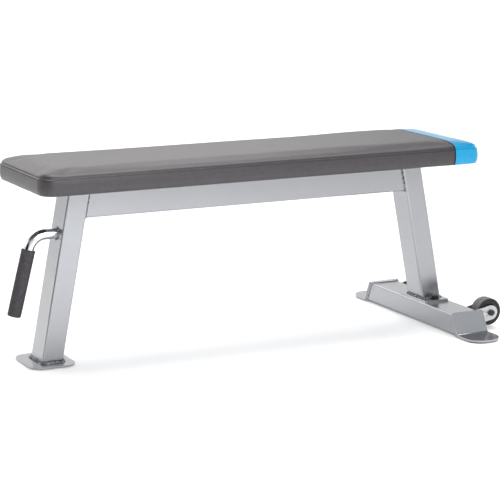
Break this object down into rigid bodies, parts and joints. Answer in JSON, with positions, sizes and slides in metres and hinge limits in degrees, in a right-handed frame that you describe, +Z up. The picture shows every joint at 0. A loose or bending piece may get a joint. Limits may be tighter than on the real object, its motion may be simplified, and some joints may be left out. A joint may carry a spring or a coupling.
{
  "type": "flat weight bench",
  "caption": "Flat padded weight bench on a welded steel frame, with a side handle and small transport wheels.",
  "frame": {"origin": "on the floor, under the middle of the whole bench's length and width", "axes": "+X along the bench from the carrying handle to the wheels, +Y across it, +Z up from the floor"},
  "size_m": [1.1688, 0.583, 0.4465],
  "materials": {
    "frame_paint": "silver metallic paint, semi-gloss",
    "weld_metal": "painted weld bead, dark at its edges",
    "vinyl_black": "fine-grained charcoal vinyl, satin",
    "vinyl_blue": "smooth sky-blue vinyl, gloss",
    "foam": "open-cell upholstery foam",
    "plywood": "birch plywood",
    "dust_cloth": "black non-woven cloth",
    "zinc_steel": "zinc plated",
    "black_steel": "black oxide",
    "foot_rubber": "matt black",
    "spacer_plastic": "natural nylon",
    "chrome_steel": "polished",
    "grip_foam": "closed-cell foam rubber, matt",
    "hub_plastic": "moulded plastic",
    "tyre_rubber": "dusty black rubber"
  },
  "bodies": {
    "frame": {"cover_main": "vinyl_black", "cover_end_panel": "vinyl_blue", "foam_core": "foam", "seat_board": "plywood", "underside_cloth": "dust_cloth", "pad_t_nuts": "zinc_steel", "pad_bolts": "black_steel", "pad_washers": "zinc_steel", "pad_plate_front": "frame_paint", "pad_plate_rear": "frame_paint", "top_beam": "frame_paint", "front_leg": "frame_paint", "rear_leg": "frame_paint", "weld_beam_ends": "weld_metal", "front_foot_plate": "frame_paint", "front_rubber_feet": "foot_rubber", "weld_front_foot": "weld_metal", "rear_flange_plate": "frame_paint", "weld_rear_flange": "weld_metal", "cross_tube": "frame_paint", "flange_bolts": "black_steel", "flange_washers": "black_steel", "flange_weld_nuts": "zinc_steel", "end_foot_right": "frame_paint", "end_foot_left": "frame_paint", "rear_rubber_feet": "foot_rubber", "weld_end_feet": "weld_metal", "wheel_bracket_right": "zinc_steel", "wheel_bracket_left": "zinc_steel", "weld_wheel_brackets": "weld_metal", "axle_bolts": "black_steel", "axle_nuts": "zinc_steel", "axle_spacers": "spacer_plastic", "handle_tube": "chrome_steel", "handle_grip": "grip_foam", "weld_handle": "weld_metal"},
    "wheel_right": {"wheel_hub_right": "hub_plastic", "tyre_right": "tyre_rubber"},
    "wheel_left": {"wheel_hub_left": "hub_plastic", "tyre_left": "tyre_rubber"}
  },
  "joints": [
    {"name": "wheel_right_roll", "type": "hinge", "parent": "frame", "child": "wheel_right", "pos_m": [0.55214, -0.1505, 0.03975], "axis": [0, 1, 0], "continuous": true},
    {"name": "wheel_left_roll", "type": "hinge", "parent": "frame", "child": "wheel_left", "pos_m": [0.55214, 0.1505, 0.03975], "axis": [0, 1, 0], "continuous": true}
  ]
}
